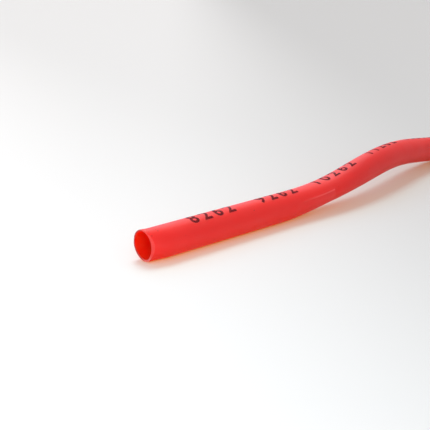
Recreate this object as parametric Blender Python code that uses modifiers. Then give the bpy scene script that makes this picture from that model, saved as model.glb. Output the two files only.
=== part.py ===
"""A cut length of red heat-shrink tube, lying on a level surface.

The tube is one thin-walled piece. Its near end lies straight on the surface. Then the tube bows up and a
little to the left, as tubing does that keeps some set from its roll, and its far end lies flat again.
Lengths are in metres. +X runs along the straight near end towards the far end, and +Z is up.
"""

import math

import bmesh
import bpy
from mathutils import Vector

# Driving sizes of the tube, as it is before it is shrunk
TUBE_LENGTH = 0.150
BORE_DIAMETER = 0.0064
WALL = 0.00036

# Where it lies on the surface
LEAD_LENGTH = 0.040
TAIL_LENGTH = 0.015

# The bow between the two: its steepest climb, how far along it starts to turn left, and its furthest turn
CLIMB = math.radians(7.5)
TURN_START = 0.048
SWING = math.radians(12.4)

# The flattened stretch where the bow begins: how far its top and bottom move in, and its sides out
PINCH_LENGTH = 0.037
PINCH_DEPTH = 0.0006
PINCH_SPREAD = 0.0004

# The near end was cut a little off square, with its lower edge set back
CUT_LEAN = math.radians(4.0)

# How finely the round wall and the bow are divided
SIDES = 24
LEAD_STEP = 0.012
BOW_STEP = 0.0025

OUTER_RADIUS = BORE_DIAMETER / 2 + WALL
TAIL_START = TUBE_LENGTH - TAIL_LENGTH
MERGE_DISTANCE = 0.00001


def clear_scene():
    for old in list(bpy.data.objects):
        bpy.data.objects.remove(old, do_unlink=True)


def new_collection(name):
    collection = bpy.data.collections.new(name)
    bpy.context.scene.collection.children.link(collection)
    return collection


def share(station, start, end):
    """How far along a stretch a station lies: 0 up to its start, and 1 from its end on."""
    return min(max((station - start) / (end - start), 0.0), 1.0)


def swell(station, start, end):
    """Rises smoothly from 0 at the start of a stretch to 1 at its middle, and falls to 0 at its end."""
    return math.sin(math.pi * share(station, start, end)) ** 2


def direction(station):
    """Which way the tube runs at a distance from its near end."""
    climb = CLIMB * math.sin(2 * math.pi * share(station, LEAD_LENGTH, TAIL_START))
    turn = SWING * swell(station, TURN_START, TAIL_START)
    return Vector((
        math.cos(climb) * math.cos(turn),
        math.cos(climb) * math.sin(turn),
        math.sin(climb),
    ))


def even_steps(start, end, longest):
    """Stations after the start of a stretch, up to its end, in equal steps."""
    count = math.ceil((end - start) / longest)
    return [start + (end - start) * (i + 1) / count for i in range(count)]


def stations():
    """Where the wall has a ring, from the near end to the far end."""
    return [
        0.0,
        *even_steps(0.0, LEAD_LENGTH, LEAD_STEP),
        *even_steps(LEAD_LENGTH, TAIL_START, BOW_STEP),
        *even_steps(TAIL_START, TUBE_LENGTH, LEAD_STEP),
    ]


def route_curve(collection):
    """The tube's centreline, as a guide for the wall. Each leg runs the way the tube runs at its middle."""
    marks = stations()
    points = [Vector((0.0, 0.0, 0.0))]
    for here, there in zip(marks, marks[1:]):
        points.append(points[-1] + direction((here + there) / 2) * (there - here))

    curve = bpy.data.curves.new("centreline", "CURVE")
    curve.dimensions = "3D"
    curve.twist_mode = "Z_UP"
    spline = curve.splines.new("POLY")
    spline.points.add(len(points) - 1)
    for spline_point, point in zip(spline.points, points):
        spline_point.co = (*point, 1.0)

    guide = bpy.data.objects.new("centreline", curve)
    guide.hide_render = True
    guide.display_type = "WIRE"
    collection.objects.link(guide)
    return guide


def straight_wall(name):
    """The tube's outer surface with open ends, straight along X, with one side flat to the surface."""
    mesh = bpy.data.meshes.new(name)
    wall = bmesh.new()
    bmesh.ops.create_cone(
        wall, cap_ends=False, segments=SIDES, radius1=OUTER_RADIUS, radius2=OUTER_RADIUS, depth=TUBE_LENGTH
    )
    for vert in wall.verts:
        along, across, up = vert.co.z + TUBE_LENGTH / 2, vert.co.x, vert.co.y
        turned = math.atan2(up, across) + math.pi / SIDES
        vert.co = (along, OUTER_RADIUS * math.cos(turned), OUTER_RADIUS * math.sin(turned))
    for station in stations()[1:-1]:
        everything = wall.verts[:] + wall.edges[:] + wall.faces[:]
        bmesh.ops.bisect_plane(
            wall, geom=everything, dist=MERGE_DISTANCE, plane_co=(station, 0, 0), plane_no=(1, 0, 0)
        )
    bmesh.ops.recalc_face_normals(wall, faces=wall.faces)
    wall.to_mesh(mesh)
    wall.free()
    return mesh


def thickened(mesh, collection):
    """The straight surface with the wall's thickness, as a mesh of its own."""
    source = bpy.data.objects.new("wall_source", mesh)
    collection.objects.link(source)
    solidify = source.modifiers.new("wall", "SOLIDIFY")
    solidify.thickness = WALL
    solidify.offset = -1.0
    solidify.use_even_offset = True
    depsgraph = bpy.context.evaluated_depsgraph_get()
    solid = bpy.data.meshes.new_from_object(source.evaluated_get(depsgraph))
    bpy.data.objects.remove(source)
    return solid


def lean_near_cut(mesh):
    """Slides the near end's ring along the tube, so that its face leans back towards the surface."""
    for vert in mesh.vertices:
        if vert.co.x < MERGE_DISTANCE:
            vert.co.x -= vert.co.z * math.tan(CUT_LEAN)


def pinch(mesh):
    """Flattens the start of the bow. Both faces of the wall move together, so it keeps its thickness."""
    for vert in mesh.vertices:
        around = math.atan2(vert.co.z, vert.co.y)
        give = swell(vert.co.x, LEAD_LENGTH, LEAD_LENGTH + PINCH_LENGTH)
        vert.co.y += PINCH_SPREAD * give * math.cos(around)
        vert.co.z -= PINCH_DEPTH * give * math.sin(around)


def red_polyolefin():
    material = bpy.data.materials.new("red_polyolefin")
    material.use_nodes = True
    shader = material.node_tree.nodes["Principled BSDF"]
    shader.inputs["Base Color"].default_value = (0.80, 0.035, 0.03, 1.0)
    shader.inputs["Roughness"].default_value = 0.42
    shader.inputs["Metallic"].default_value = 0.0
    return material


def heat_shrink_tube(collection):
    wall = thickened(straight_wall("heat_shrink_tube"), collection)
    lean_near_cut(wall)
    pinch(wall)
    wall.shade_smooth()
    wall.set_sharp_from_angle(angle=math.radians(40))
    wall.materials.append(red_polyolefin())

    tube = bpy.data.objects.new("heat_shrink_tube", wall)
    collection.objects.link(tube)
    follow = tube.modifiers.new("follow_centreline", "CURVE")
    follow.object = route_curve(collection)
    follow.deform_axis = "POS_X"
    return tube


def set_down(tube, collection):
    """Moves tube and centreline together, so that the tube lies on z = 0, with its box centred on the origin."""
    place = bpy.data.objects.new("place_on_surface", None)
    collection.objects.link(place)
    for part in (tube, tube.modifiers["follow_centreline"].object):
        part.parent = place
    bpy.context.view_layer.update()
    bent = tube.evaluated_get(bpy.context.evaluated_depsgraph_get())
    corners = [bent.matrix_world @ vert.co for vert in bent.data.vertices]
    low = Vector(min(corner[axis] for corner in corners) for axis in range(3))
    high = Vector(max(corner[axis] for corner in corners) for axis in range(3))
    place.location = (-(low.x + high.x) / 2, -(low.y + high.y) / 2, -low.z)
    bpy.context.view_layer.update()


def main():
    clear_scene()
    collection = new_collection("heat_shrink_tube")
    set_down(heat_shrink_tube(collection), collection)


main()
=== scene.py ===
import math

import bpy
from mathutils import Matrix, Vector


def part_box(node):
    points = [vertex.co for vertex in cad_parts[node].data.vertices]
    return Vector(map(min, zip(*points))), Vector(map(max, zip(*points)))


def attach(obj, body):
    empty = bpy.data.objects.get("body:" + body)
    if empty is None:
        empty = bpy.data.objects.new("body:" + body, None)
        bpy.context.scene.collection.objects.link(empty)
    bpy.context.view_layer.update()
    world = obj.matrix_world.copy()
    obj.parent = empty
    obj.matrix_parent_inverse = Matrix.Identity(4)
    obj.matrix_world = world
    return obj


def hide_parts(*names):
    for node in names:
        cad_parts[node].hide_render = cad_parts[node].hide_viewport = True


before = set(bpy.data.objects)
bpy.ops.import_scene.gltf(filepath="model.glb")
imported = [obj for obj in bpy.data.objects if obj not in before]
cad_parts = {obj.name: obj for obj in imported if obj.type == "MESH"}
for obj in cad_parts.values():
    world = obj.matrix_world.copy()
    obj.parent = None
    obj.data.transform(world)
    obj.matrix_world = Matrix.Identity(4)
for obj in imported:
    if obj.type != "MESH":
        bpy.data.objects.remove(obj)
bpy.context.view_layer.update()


# Small helpers for working on one piece at a time

mergeDistance = 0.000001
smoothAngle = math.radians(40)
mmPerMetre = 1000.0


def toObjectMode():
    if bpy.context.object and bpy.context.object.mode != "OBJECT":
        bpy.ops.object.mode_set(mode="OBJECT")


def pick(piece):
    toObjectMode()
    bpy.ops.object.select_all(action="DESELECT")
    bpy.context.view_layer.objects.active = piece
    piece.select_set(True)


def clearChoice(piece, kind):
    # points or edges are chosen in object mode, from nothing selected
    pick(piece)
    bpy.ops.object.mode_set(mode="EDIT")
    bpy.ops.mesh.select_mode(type=kind)
    bpy.ops.mesh.select_all(action="DESELECT")
    bpy.ops.object.mode_set(mode="OBJECT")


def editPoints(piece, wanted):
    # opens edit mode with only the wanted points selected
    clearChoice(piece, "VERT")
    for vert in piece.data.vertices:
        vert.select = wanted(vert)
    bpy.ops.object.mode_set(mode="EDIT")


def editEdges(piece, wanted):
    # the same for edges, chosen by their two ends
    clearChoice(piece, "EDGE")
    points = piece.data.vertices
    for edge in piece.data.edges:
        edge.select = wanted(points[edge.vertices[0]].co, points[edge.vertices[1]].co)
    bpy.ops.object.mode_set(mode="EDIT")


def applyAll(piece):
    pick(piece)
    for modifier in list(piece.modifiers):
        bpy.ops.object.modifier_apply(modifier=modifier.name)


def mergePoints(piece):
    # joins the points that lie on each other
    editPoints(piece, lambda vert: True)
    bpy.ops.mesh.remove_doubles(threshold=mergeDistance)
    toObjectMode()


def around(vert):
    # degrees round the straight tube: 0 on its far side, 90 on top, 180 on the camera's side
    return math.degrees(math.atan2(vert.co.z, vert.co.y)) % 360


# The line that the tube lies along, with the CAD part's own values

route = {
    "length": 0.150,
    "lead": 0.040,  # flat on the floor
    "tail": 0.015,  # flat again
    "climb": math.radians(7.5),
    "turnStart": 0.048,
    "swing": math.radians(12.4),
    "step": 0.001,
    "mouthReach": 0.002,  # the CAD tube's first ring lies within this of its near end
}


def share(station, start, end):
    return min(max((station - start) / (end - start), 0.0), 1.0)


def heading(station):
    tailStart = route["length"] - route["tail"]
    climb = route["climb"] * math.sin(2 * math.pi * share(station, route["lead"], tailStart))
    turn = route["swing"] * math.sin(math.pi * share(station, route["turnStart"], tailStart)) ** 2
    return Vector((math.cos(climb) * math.cos(turn), math.cos(climb) * math.sin(turn), math.sin(climb)))


def mouthOfCad():
    # centre and outer radius of the near cut, read from the CAD tube
    low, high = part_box("heat_shrink_tube")
    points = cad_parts["heat_shrink_tube"].data.vertices
    ring = [vert.co for vert in points if vert.co.x < low.x + route["mouthReach"]]
    centre = Vector((
        (min(co.x for co in ring) + max(co.x for co in ring)) / 2,
        (min(co.y for co in ring) + max(co.y for co in ring)) / 2,
        (min(co.z for co in ring) + max(co.z for co in ring)) / 2,
    ))
    return centre, (max(co.z for co in ring) - min(co.z for co in ring)) / 2


def makeGuide():
    points = [mouthCentre.copy()]
    count = round(route["length"] / route["step"])
    for i in range(count):
        points.append(points[-1] + heading((i + 0.5) * route["step"]) * route["step"])
    curve = bpy.data.curves.new("guide", "CURVE")
    curve.dimensions = "3D"
    curve.twist_mode = "Z_UP"
    spline = curve.splines.new("POLY")
    spline.points.add(count)
    for splinePoint, point in zip(spline.points, points):
        splinePoint.co = (*(point - mouthCentre), 1.0)
    guide = bpy.data.objects.new("guide", curve)
    bpy.context.scene.collection.objects.link(guide)
    return guide


def layAlongGuide(piece):
    # bends a straight piece along the guide and puts it in its place
    bend = piece.modifiers.new("along the guide", "CURVE")
    bend.object = guide
    bend.deform_axis = "POS_X"
    applyAll(piece)
    bpy.ops.transform.translate(value=mouthCentre)
    bpy.ops.object.transform_apply(location=True, rotation=True, scale=True)


mouthCentre, tubeRadius = mouthOfCad()
guide = makeGuide()
print("guide laid, near mouth at", [round(x, 5) for x in mouthCentre], "radius", round(tubeRadius, 6))


# Camera: the photograph's angle, placed by where the near mouth stands in front of it

view = {
    "focalPixels": 900.0,
    "photoPixels": 430.0,
    "sensor": 36.0,
    "pitch": math.radians(16.68),  # down from level
    "heading": math.radians(46.24),  # from the tube's own line round to the way that the camera looks
    "mouthRight": -0.01448,
    "mouthUp": -0.00648,
    "mouthAhead": 0.18538,
    "nearest": 0.005,
}


def makeCamera():
    pitch = view["pitch"]
    turn = view["heading"]
    right = Vector((math.sin(turn), -math.cos(turn), 0.0))
    level = Vector((math.cos(turn), math.sin(turn), 0.0))
    ahead = level * math.cos(pitch) - Vector((0.0, 0.0, math.sin(pitch)))
    up = right.cross(ahead)
    bpy.ops.object.camera_add()
    camera = bpy.context.object
    camera.name = "camera"
    camera.data.sensor_width = view["sensor"]
    camera.data.lens = view["sensor"] * view["focalPixels"] / view["photoPixels"]
    camera.data.clip_start = view["nearest"]
    place = mouthCentre - right * view["mouthRight"] - up * view["mouthUp"] - ahead * view["mouthAhead"]
    turned = Matrix((right, up, -ahead)).transposed().to_4x4()
    camera.matrix_world = Matrix.Translation(place) @ turned
    bpy.context.scene.camera = camera


makeCamera()
print("camera placed")


# Shader maths: an output socket that takes + - * and < as Math nodes

class Field:
    def __init__(self, paint, socket):
        self.paint = paint
        self.socket = socket

    def __add__(self, other):
        return self.paint.maths("ADD", self, other)

    def __radd__(self, other):
        return self.paint.maths("ADD", other, self)

    def __sub__(self, other):
        return self.paint.maths("SUBTRACT", self, other)

    def __rsub__(self, other):
        return self.paint.maths("SUBTRACT", other, self)

    def __mul__(self, other):
        return self.paint.maths("MULTIPLY", self, other)

    def __rmul__(self, other):
        return self.paint.maths("MULTIPLY", other, self)

    def __lt__(self, other):
        return self.paint.maths("LESS_THAN", self, other)


class Paint:
    def __init__(self, name):
        self.material = bpy.data.materials.new(name)
        self.material.use_nodes = True
        self.tree = self.material.node_tree
        self.shader = self.tree.nodes["Principled BSDF"]

    def fill(self, socket, value):
        if isinstance(value, Field):
            self.tree.links.new(value.socket, socket)
        else:
            socket.default_value = value

    def add(self, kind, settings=None, inputs=None, output=0):
        node = self.tree.nodes.new(kind)
        for name, value in (settings or {}).items():
            setattr(node, name, value)
        for name, value in (inputs or {}).items():
            self.fill(node.inputs[name], value)
        return Field(self, node.outputs[output])

    def maths(self, operation, first, second):
        return self.add("ShaderNodeMath", {"operation": operation}, {0: first, 1: second})

    def vectors(self, operation, first, second, output=0):
        return self.add("ShaderNodeVectorMath", {"operation": operation}, {0: first, 1: second}, output)

    def clamp(self, value):
        return self.add("ShaderNodeClamp", inputs={"Value": value})

    def ramp(self, value, low, high):
        # 0 below low, 1 above high, smooth between
        return self.add("ShaderNodeMapRange", {"interpolation_type": "SMOOTHSTEP"},
                        {"Value": value, "From Min": low, "From Max": high})

    def band(self, value, middle, half, soft):
        # 1 within half of the middle, fading to 0 over soft
        off = self.maths("ABSOLUTE", value - middle, 0.0)
        return 1 - self.ramp(off, half, half + soft)

    def mixColours(self, factor, first, second):
        # sockets 0, 6 and 7 are the factor and the two colours, and output 2 is the mixed colour
        return self.add("ShaderNodeMix", {"data_type": "RGBA"}, {0: factor, 6: first, 7: second}, 2)

    def scaled(self, colour, amount):
        return self.add("ShaderNodeVectorMath", {"operation": "SCALE"}, {0: colour, "Scale": amount})

    def one(self, coords, axis):
        return self.add("ShaderNodeSeparateXYZ", inputs={0: coords}, output=axis)

    def noise(self, coords, scale=1.0, detail=2.0, rough=0.5):
        return self.add("ShaderNodeTexNoise", {"normalize": True},
                        {"Vector": coords, "Scale": scale, "Detail": detail, "Roughness": rough})

    def stretchedNoise(self, coords, scales, detail=3.0, rough=0.5):
        return self.noise(self.vectors("MULTIPLY", coords, scales), detail=detail, rough=rough)

    def bump(self, height, strength, distance):
        return self.add("ShaderNodeBump",
                        inputs={"Height": height, "Strength": strength, "Distance": distance})

    def finish(self, inputs):
        for name, value in inputs.items():
            self.fill(self.shader.inputs[name], value)
        return self.material


# The red polyolefin: satin, and clear enough for red light to come through the thin wall.
# Patterns are in millimetres and degrees on the straight tube.

skin = {
    "body": (0.97, 0.016, 0.012, 1.0),
    "pale": (0.975, 0.023, 0.019, 1.0),
    "paleShare": 0.25,
    "cloudScale": 0.16,
    "cloudTone": 0.9,
    "grainScale": 9.0,
    "drawLines": (0.03, 3.2, 3.2),  # drawn out along the tube by the extruder
    "drawTone": 0.8,
    "roughness": 0.52,
    "cloudRoughness": 0.16,
    "grainRoughness": 0.10,
    "farEndShade": (0.71, 0.014, 0.012, 1.0),  # painted shade: the red darkens towards the far end, where less light falls
    "farEndShadeFrom": 30.0,
    "farEndShadeTo": 80.0,
    "speck": (0.20, 0.010, 0.010, 1.0),
    "speckScale": 1.7,
    "speckFrom": 0.795,
    "speckTo": 0.82,
    "speckShows": 0.7,
    # dirt near the cut: how far along, how far round
    "dots": ((0.45, 112), (2.5, 117), (0.5, 133), (2.3, 106)),
    "dotCore": 0.06,
    "dotReach": 0.17,
    "dotShows": 1.1,
    "creasePaleAndShine": (0.98, 0.105, 0.105, 1.0),  # the crease line: stress whitening and a painted highlight, with painted sheen on the flat below it
    "creaseFrom": 44.0,
    "creaseFull": 53.0,
    "creaseTo": 57.5,
    "creaseWaver": 2.5,
    # how far above the tube's middle on the camera's side, half its width, its fade
    "line": (20.0, 2.2, 3.0),
    "lineShows": 0.54,
    "flat": (0.0, 17.0, 5.0),
    "flatSheenShows": 0.13,
    "redReach": (1.0, 0.10, 0.08),
    "reach": 0.0010,
    "specular": 0.34,
}

bore = {
    "colour": (0.97, 0.030, 0.007, 1.0),
    "drawLines": (0.05, 2.4, 2.4),
    "roughness": 0.34,
}

cut = {
    "colour": (0.98, 0.085, 0.080, 1.0),
    "knifeMarks": (3.0, 2.0, 9.0),
    "roughness": 0.5,
    "clear": 0.4,
    "paleBelow": (0.98, 0.19, 0.18, 1.0),  # the cut is paler towards its bottom
    "paleBelowFrom": 1.6,
    "paleBelowTo": 3.0,
    "cutShade": (0.42, 0.012, 0.012, 1.0),  # painted shade: the far side of the cut is darker, where it faces away from the light
    "cutShadeFrom": -0.4,
    "cutShadeTo": 1.6,
    "cutShadeShows": 0.8,
}


def straightCoords(paint):
    # millimetres on the straight tube, kept from before it was bent
    drawn = paint.add("ShaderNodeAttribute", {"attribute_name": "asDrawn"}, output=1)
    return paint.vectors("MULTIPLY", drawn, (mmPerMetre, mmPerMetre, mmPerMetre))


def plasticFinish(paint, colour, roughness, normal, clear=1.0):
    return paint.finish({
        "Base Color": colour,
        "Roughness": roughness,
        "Normal": normal,
        "Subsurface Weight": clear,
        "Subsurface Radius": skin["redReach"],
        "Subsurface Scale": skin["reach"],
        "Specular IOR Level": skin["specular"],
        "IOR": 1.5,
    })


def creasePaleAndShined(paint, coords, waver):
    # how pale the crease line is, from stress whitening and painted highlight, and the painted sheen on the
    # flat below it
    up = paint.one(coords, 2)
    towardsCamera = 0 - paint.one(coords, 1)
    along = paint.one(coords, 0)
    above = paint.maths("ARCTAN2", up, towardsCamera) * math.degrees(1) + waver
    length = paint.ramp(along, skin["creaseFrom"], skin["creaseFull"]) * (along < skin["creaseTo"])
    line = paint.band(above, *skin["line"])
    flat = paint.band(above, *skin["flat"])
    return paint.clamp((skin["lineShows"] * line + skin["flatSheenShows"] * flat) * length)


def specked(paint, coords):
    # small specks anywhere, and the few dots of dirt near the cut
    specks = paint.noise(coords, skin["speckScale"], detail=1.0)
    specks = paint.ramp(specks, skin["speckFrom"], skin["speckTo"])
    radius = tubeRadius * mmPerMetre
    for station, angle in skin["dots"]:
        turn = math.radians(angle)
        spot = (station, radius * math.cos(turn), radius * math.sin(turn))
        away = paint.vectors("DISTANCE", coords, spot, output=1)
        specks = specks + skin["dotShows"] * (1 - paint.ramp(away, skin["dotCore"], skin["dotReach"]))
    return paint.clamp(specks * skin["speckShows"])


def redSkin():
    paint = Paint("redSkin")
    coords = straightCoords(paint)
    drawLines = paint.stretchedNoise(coords, skin["drawLines"], detail=4.0, rough=0.6)
    clouds = paint.noise(coords, skin["cloudScale"]) - 0.5
    grain = paint.noise(coords, skin["grainScale"])
    tone = skin["paleShare"] + skin["cloudTone"] * clouds + skin["drawTone"] * (drawLines - 0.5)
    colour = paint.mixColours(paint.clamp(tone), skin["body"], skin["pale"])
    # painted shade: darker towards the far end of the tube
    deep = paint.ramp(paint.one(coords, 0), skin["farEndShadeFrom"], skin["farEndShadeTo"])
    colour = paint.mixColours(deep, colour, skin["farEndShade"])
    # paler along the crease (stress whitening and painted highlight) and on the flat below it (painted
    # sheen)
    colour = paint.mixColours(creasePaleAndShined(paint, coords, skin["creaseWaver"] * clouds), colour, skin["creasePaleAndShine"])
    colour = paint.mixColours(specked(paint, coords), colour, skin["speck"])
    roughness = skin["roughness"] + skin["cloudRoughness"] * clouds + skin["grainRoughness"] * (grain - 0.5)
    relief = 0.7 * drawLines + 0.3 * grain
    return plasticFinish(paint, colour, roughness, paint.bump(relief, strength=0.35, distance=0.00006))


def redBore():
    paint = Paint("redBore")
    drawLines = paint.stretchedNoise(straightCoords(paint), bore["drawLines"])
    relief = paint.bump(drawLines, strength=0.3, distance=0.00006)
    return plasticFinish(paint, bore["colour"], bore["roughness"], relief)


def redCut():
    paint = Paint("redCut")
    coords = straightCoords(paint)
    knifeMarks = paint.stretchedNoise(coords, cut["knifeMarks"])
    colour = paint.mixColours(paint.clamp(knifeMarks), skin["pale"], cut["colour"])
    # paler towards the bottom of the cut
    below = paint.ramp(0 - paint.one(coords, 2), cut["paleBelowFrom"], cut["paleBelowTo"])
    colour = paint.mixColours(below, colour, cut["paleBelow"])
    # painted shade on the far side of the cut
    farSide = paint.ramp(paint.one(coords, 1), cut["cutShadeFrom"], cut["cutShadeTo"])
    colour = paint.mixColours(farSide * cut["cutShadeShows"], colour, cut["cutShade"])
    relief = paint.bump(knifeMarks, strength=0.4, distance=0.00005)
    return plasticFinish(paint, colour, cut["roughness"], relief, cut["clear"])


# The tube: a fine wall on the CAD tube's line, with the marks of a life on a reel.
# Stations along it are in metres, and places round it in degrees.

tube = {
    "inkRoom": 0.00002,  # the skin lies this much inside the CAD tube, so that the print stays in its box
    "sides": 96,
    "firstCuts": 99,
    "secondCuts": 1,
    "cutLean": math.radians(4.0),
    "pinchAt": 0.0585,
    "pinchReach": 0.0185,
    "pinchDepth": 0.0006,
    "pinchSpread": 0.0004,
    # where the mouth was pushed out of round: from, to, how far towards +Y and up, how far that spreads
    "dents": {
        "camera's side": (150, 218, (0.00074, 0.0), 0.0055),
        "below that": (190, 214, (0.00032, 0.00002), 0.0030),
        "heel": (316, 346, (0.00013, -0.00006), 0.0024),
        "brow": (40, 75, (0.00012, 0.00008), 0.0022),
    },
    "creaseFrom": 0.0455,
    "creaseTo": 0.0575,
    "creaseAt": 160,
    "creaseHalf": 2.5,
    "creaseHeight": 0.00014,
    "creaseReach": 0.0007,
    "flatFrom": 178,
    "flatTo": 205,
    "flatDepth": 0.00018,
    "flatReach": 0.0028,
    "wall": 0.00039,
    "boreShift": (0.0, 0.00003, 0.00005),  # the wall is a little thinner on top than below
    "edgeStep": 7.5,  # the cut's edges are moved in stretches of this width
    "lipSlide": 0.00068,  # the cut slants back across the wall on the camera's side
    "lipMiddle": 174,
    "lipWidth": 72,  # to each side of its middle
    "heelFrom": 292,  # the wall is thicker at the foot of the far side
    "heelTo": 352,
    "heelThicker": 0.00011,
    "rimWidth": 0.00007,
    "rimAngle": math.radians(35),
    "rimSteps": 2,
}

ringGap = route["length"] / ((tube["firstCuts"] + 1) * (tube["secondCuts"] + 1))


def keepStraightCoords(piece):
    kept = piece.data.attributes.new("asDrawn", "FLOAT_VECTOR", "POINT")
    kept.data.foreach_set("vector", [x for vert in piece.data.vertices for x in vert.co])


def pushPoints(piece, wanted, offset, reach, falloff="SMOOTH"):
    editPoints(piece, wanted)
    bpy.ops.transform.translate(
        value=offset, use_proportional_edit=True, use_proportional_connected=True,
        proportional_edit_falloff=falloff, proportional_size=reach)
    toObjectMode()


def atMouth(vert):
    return vert.co.x < ringGap / 2


def alongCrease(vert):
    return tube["creaseFrom"] < vert.co.x < tube["creaseTo"]


def straightTube():
    bpy.ops.mesh.primitive_cylinder_add(
        vertices=tube["sides"], radius=tubeRadius - tube["inkRoom"],
        depth=route["length"] - tube["inkRoom"], end_fill_type="NOTHING",
        location=(route["length"] / 2, 0, 0), rotation=(0, math.pi / 2, 0))
    piece = bpy.context.object
    piece.name = piece.data.name = "red_heat_shrink_tube"
    bpy.ops.object.transform_apply(location=True, rotation=True, scale=True)

    # rings all along the tube
    editEdges(piece, lambda a, b: abs(a.x - b.x) > route["length"] / 2)
    bpy.ops.mesh.subdivide(number_cuts=tube["firstCuts"])
    bpy.ops.mesh.subdivide(number_cuts=tube["secondCuts"])
    toObjectMode()
    keepStraightCoords(piece)
    return piece


def leanCut(piece):
    # the near cut leans back a little towards the floor
    editPoints(piece, atMouth)
    bpy.ops.transform.rotate(value=tube["cutLean"], orient_axis="Y", center_override=(0, 0, 0))
    toObjectMode()


def flattenBow(piece):
    # flattened where the bow starts
    editPoints(piece, lambda vert: abs(vert.co.x - tube["pinchAt"]) < ringGap / 2)
    wider = 1 + tube["pinchSpread"] / tubeRadius
    lower = 1 - tube["pinchDepth"] / tubeRadius
    bpy.ops.transform.resize(
        value=(1, wider, lower), center_override=(tube["pinchAt"], 0, 0), use_proportional_edit=True,
        proportional_edit_falloff="SMOOTH", proportional_size=tube["pinchReach"])
    toObjectMode()


def dentMouth(piece):
    for first, last, (left, up), reach in tube["dents"].values():
        pushPoints(piece, lambda vert: atMouth(vert) and first < around(vert) < last, (0, left, up), reach)


def creaseSide(piece):
    # a faint lengthwise crease, and the flat below it
    pushPoints(
        piece, lambda vert: alongCrease(vert) and tube["flatFrom"] < around(vert) < tube["flatTo"],
        (0, tube["flatDepth"], 0), tube["flatReach"])
    pushPoints(
        piece, lambda vert: alongCrease(vert) and abs(around(vert) - tube["creaseAt"]) < tube["creaseHalf"],
        (0, -tube["creaseHeight"], tube["creaseHeight"] / 2), tube["creaseReach"], "SHARP")


def giveWall(piece):
    # the wall's inside is added after the points of its outside, and how many those are is handed back
    for material in (redSkin(), redBore(), redCut()):
        piece.data.materials.append(material)
    wall = piece.modifiers.new("wall", "SOLIDIFY")
    wall.thickness = tube["wall"]
    wall.offset = -1.0
    wall.use_even_offset = True
    wall.material_offset = 1  # the bore's
    wall.material_offset_rim = 2  # the cut's
    outside = len(piece.data.vertices)
    applyAll(piece)
    editPoints(piece, lambda vert: vert.index >= outside)
    bpy.ops.transform.translate(value=tube["boreShift"])
    toObjectMode()
    return outside


def moveCutEdge(piece, wanted, low, offset):
    # one stretch of the cut's outer or inner edge
    editPoints(piece, lambda vert: (
        wanted(vert) and atMouth(vert) and low <= around(vert) < low + tube["edgeStep"]))
    bpy.ops.transform.translate(value=offset)
    toObjectMode()


def slantLip(piece, outside):
    # slides the cut's outer edge along the tube, most of all in the middle of the lip
    first = tube["lipMiddle"] - tube["lipWidth"]
    for i in range(round(2 * tube["lipWidth"] / tube["edgeStep"])):
        low = first + i * tube["edgeStep"]
        middle = low + tube["edgeStep"] / 2
        near = math.cos(math.radians(90 * (middle - tube["lipMiddle"]) / tube["lipWidth"]))
        moveCutEdge(piece, lambda vert: vert.index < outside, low, (tube["lipSlide"] * near, 0, 0))


def thickenHeel(piece, outside):
    # moves the bore's edge in, most of all in the middle of the heel
    spread = tube["heelTo"] - tube["heelFrom"]
    for i in range(round(spread / tube["edgeStep"])):
        low = tube["heelFrom"] + i * tube["edgeStep"]
        middle = low + tube["edgeStep"] / 2
        inwards = tube["heelThicker"] * math.sin(math.pi * (middle - tube["heelFrom"]) / spread)
        turn = math.radians(middle)
        moveCutEdge(
            piece, lambda vert: vert.index >= outside, low,
            (0, -inwards * math.cos(turn), -inwards * math.sin(turn)))


def softenRims(piece):
    rims = piece.modifiers.new("softened rims", "BEVEL")
    rims.limit_method = "ANGLE"
    rims.angle_limit = tube["rimAngle"]
    rims.width = tube["rimWidth"]
    rims.segments = tube["rimSteps"]
    applyAll(piece)
    mergePoints(piece)


def makeTube():
    piece = straightTube()
    leanCut(piece)
    flattenBow(piece)
    dentMouth(piece)
    creaseSide(piece)
    outside = giveWall(piece)
    slantLip(piece, outside)
    thickenHeel(piece, outside)
    softenRims(piece)
    layAlongGuide(piece)
    pick(piece)
    bpy.ops.object.shade_smooth_by_angle(angle=smoothAngle)
    return piece


redTube = makeTube()
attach(redTube, "root")
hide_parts("heat_shrink_tube")
print("tube made,", len(redTube.data.polygons), "faces")


# The print: plain counting numbers along the top, in dark ink that didn't take everywhere

printing = {
    "firstNumber": 8262,
    "step": 1000,
    "start": 0.0118,
    "gap": 0.0081,
    "room": 0.0175,  # the longest number's length
    "size": 0.0048,
    "spacing": 1.52,
    "bolder": 0.00011,
    "roundness": 5,
    "baseline": math.radians(37.5),  # below the top, on the camera's side
    "spiral": math.radians(0.30) / 0.001,  # the line of print creeps round the tube
    "slice": 0.0003,
    "lift": 0.000008,
    "thickness": 0.000012,
    "ink": (0.125, 0.004, 0.008, 1.0),
    "thinInk": (0.36, 0.014, 0.018, 1.0),
    "blotScale": 2.2,
    "grainScale": 14.0,
    "takesFrom": 0.36,
    "takesFully": 0.58,
    "thinnest": 0.30,
    "denser": 0.58,
    "roughness": 0.55,
    "specular": 0.06,
}


def darkInk():
    paint = Paint("darkInk")
    coords = straightCoords(paint)
    blots = paint.noise(coords, printing["blotScale"], detail=3.0, rough=0.6)
    grain = paint.noise(coords, printing["grainScale"])
    took = paint.ramp(0.6 * blots + 0.4 * grain, printing["takesFrom"], printing["takesFully"])
    return paint.finish({
        "Base Color": paint.mixColours(took, printing["thinInk"], printing["ink"]),
        "Roughness": printing["roughness"] + 0.2 * (grain - 0.5),
        "Specular IOR Level": printing["specular"],
        "Alpha": printing["thinnest"] + printing["denser"] * took,
        "Normal": paint.bump(grain, strength=0.2, distance=0.00002),
    })


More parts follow.
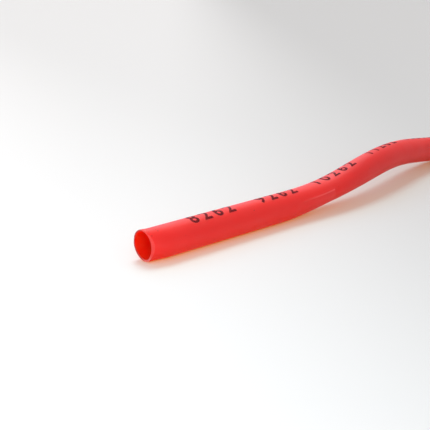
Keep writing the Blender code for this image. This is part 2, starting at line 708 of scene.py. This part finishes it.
def flatNumber(index, start):
    bpy.ops.object.text_add(location=(0, 0, 0))
    text = bpy.context.object
    text.data.body = str(printing["firstNumber"] + index * printing["step"])
    text.data.size = printing["size"]
    text.data.space_character = printing["spacing"]
    text.data.offset = printing["bolder"]
    text.data.resolution_u = printing["roundness"]
    pick(text)
    bpy.ops.object.convert(target="MESH")
    piece = bpy.context.object
    piece.name = piece.data.name = f"printed_number_{index + 1}"
    bpy.ops.transform.translate(value=(start - piece.bound_box[0][0], 0, 0))
    bpy.ops.object.transform_apply(location=True, rotation=True, scale=True)
    return piece


def sliceBothWays(piece, low, high):
    # so that the figures can follow the round wall
    bpy.ops.object.mode_set(mode="EDIT")
    for axis in (0, 1):
        for i in range(1, math.ceil((high[axis] - low[axis]) / printing["slice"])):
            place = [0.0, 0.0, 0.0]
            normal = [0.0, 0.0, 0.0]
            place[axis] = low[axis] + i * printing["slice"]
            normal[axis] = 1.0
            bpy.ops.mesh.select_all(action="SELECT")
            bpy.ops.mesh.bisect(plane_co=place, plane_no=normal)
    mergePoints(piece)


def wrapped(co):
    # from the flat drawing to the straight tube's skin
    angle = co.y / tubeRadius - printing["baseline"] + printing["spiral"] * co.x
    return Vector((co.x, tubeRadius * math.sin(angle), tubeRadius * math.cos(angle)))


def inkOnSkin(piece):
    hug = piece.modifiers.new("on the skin", "SHRINKWRAP")
    hug.target = redTube
    hug.wrap_method = "NEAREST_SURFACEPOINT"
    hug.wrap_mode = "ABOVE_SURFACE"
    hug.offset = printing["lift"]
    layer = piece.modifiers.new("ink", "SOLIDIFY")
    layer.thickness = printing["thickness"]
    layer.offset = 1.0
    applyAll(piece)
    mergePoints(piece)


def makeNumber(index, start, ink):
    # hands back where the number ends
    piece = flatNumber(index, start)
    low = Vector(piece.bound_box[0])
    high = Vector(piece.bound_box[6])
    sliceBothWays(piece, low, high)
    for vert in piece.data.vertices:
        vert.co = wrapped(vert.co)
    keepStraightCoords(piece)
    piece.data.materials.append(ink)
    layAlongGuide(piece)
    inkOnSkin(piece)
    bpy.ops.object.shade_smooth_by_angle(angle=smoothAngle)
    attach(piece, "root")
    return high.x


ink = darkInk()
count = 0
nextStart = printing["start"]
while nextStart < route["length"] - printing["room"]:
    nextStart = makeNumber(count, nextStart, ink) + printing["gap"]
    count += 1
print(count, "numbers printed")

bpy.data.objects.remove(guide)


# Floor and light

studio = {
    "floorSize": 8.0,
    "floor": (0.341, 0.569, 0.664),
    "glow": (0.440, 0.135, 0.0),  # a little warm light comes up through the pale table
    "brightest": 1.405,
    # the light on the table falls off to the far right: which way, from where, to where, how much
    "falls": (
        ((0.936, -0.352, 0.0), -0.212, 0.019, 0.400),
        ((0.753, -0.658, 0.0), -0.061, 0.057, 0.241),
    ),
    "world": (0.550, 0.560, 0.575),
    # where each sun comes from, how wide it is in degrees, how strong, its colour.
    # The two keys add up to white.
    "suns": {
        "keyNarrow": ((0.12, 0.158, 0.338), 24, 1.40, (0.87, 1.03, 0.80)),
        "keyWide": ((0.12, 0.22, 0.30), 50, 0.80, (1.25, 0.94, 1.39)),
        "rear": ((0.30, 0.45, 0.18), 30, 0.22, (0.70, 0.95, 1.15)),
        "fill": ((-0.149, -0.286, 0.206), 70, 0.55, (1.0, 1.0, 1.0)),
    },
    "softbox": {"place": (-0.25, -0.22, 0.18), "size": 0.20, "power": 0.17},
}


def makeFloor():
    bpy.ops.mesh.primitive_plane_add(size=studio["floorSize"], location=(0, 0, 0))
    floor = bpy.context.object
    floor.name = "floor"
    paint = Paint("paleTable")
    place = paint.add("ShaderNodeTexCoord", output=3)  # object coordinates
    bright = studio["brightest"]
    for direction, start, end, amount in studio["falls"]:
        across = paint.vectors("DOT_PRODUCT", place, direction, output=1)
        bright = bright - amount * paint.ramp(across, start, end)
    floor.data.materials.append(paint.finish({
        "Base Color": paint.scaled(studio["floor"], bright),
        "Emission Color": paint.scaled(studio["glow"], bright),
        "Emission Strength": 1.0,
        "Roughness": 0.8,
        "Specular IOR Level": 0.0,
    }))


def makeSoftSun(name, place, width, strength, colour):
    bpy.ops.object.light_add(type="SUN")
    sun = bpy.context.object
    sun.name = name
    sun.data.angle = math.radians(width)
    sun.data.energy = strength
    sun.data.color = colour
    sun.rotation_euler = Vector(place).to_track_quat("Z", "Y").to_euler()


def makeSoftbox():
    place = Vector(studio["softbox"]["place"])
    bpy.ops.object.light_add(type="AREA", location=place)
    softbox = bpy.context.object
    softbox.name = "softbox"
    softbox.data.shape = "DISK"
    softbox.data.size = studio["softbox"]["size"]
    softbox.data.energy = studio["softbox"]["power"]
    softbox.rotation_euler = place.to_track_quat("Z", "Y").to_euler()


def makeWorld():
    world = bpy.data.worlds.new("pale studio")
    world.use_nodes = True
    sky = world.node_tree.nodes["Background"]
    sky.inputs["Color"].default_value = (*studio["world"], 1.0)
    bpy.context.scene.world = world


makeFloor()
for name, (place, width, strength, colour) in studio["suns"].items():
    makeSoftSun(name, place, width, strength, colour)
makeSoftbox()
makeWorld()
bpy.context.scene.view_settings.view_transform = "Standard"
print("floor and light set")
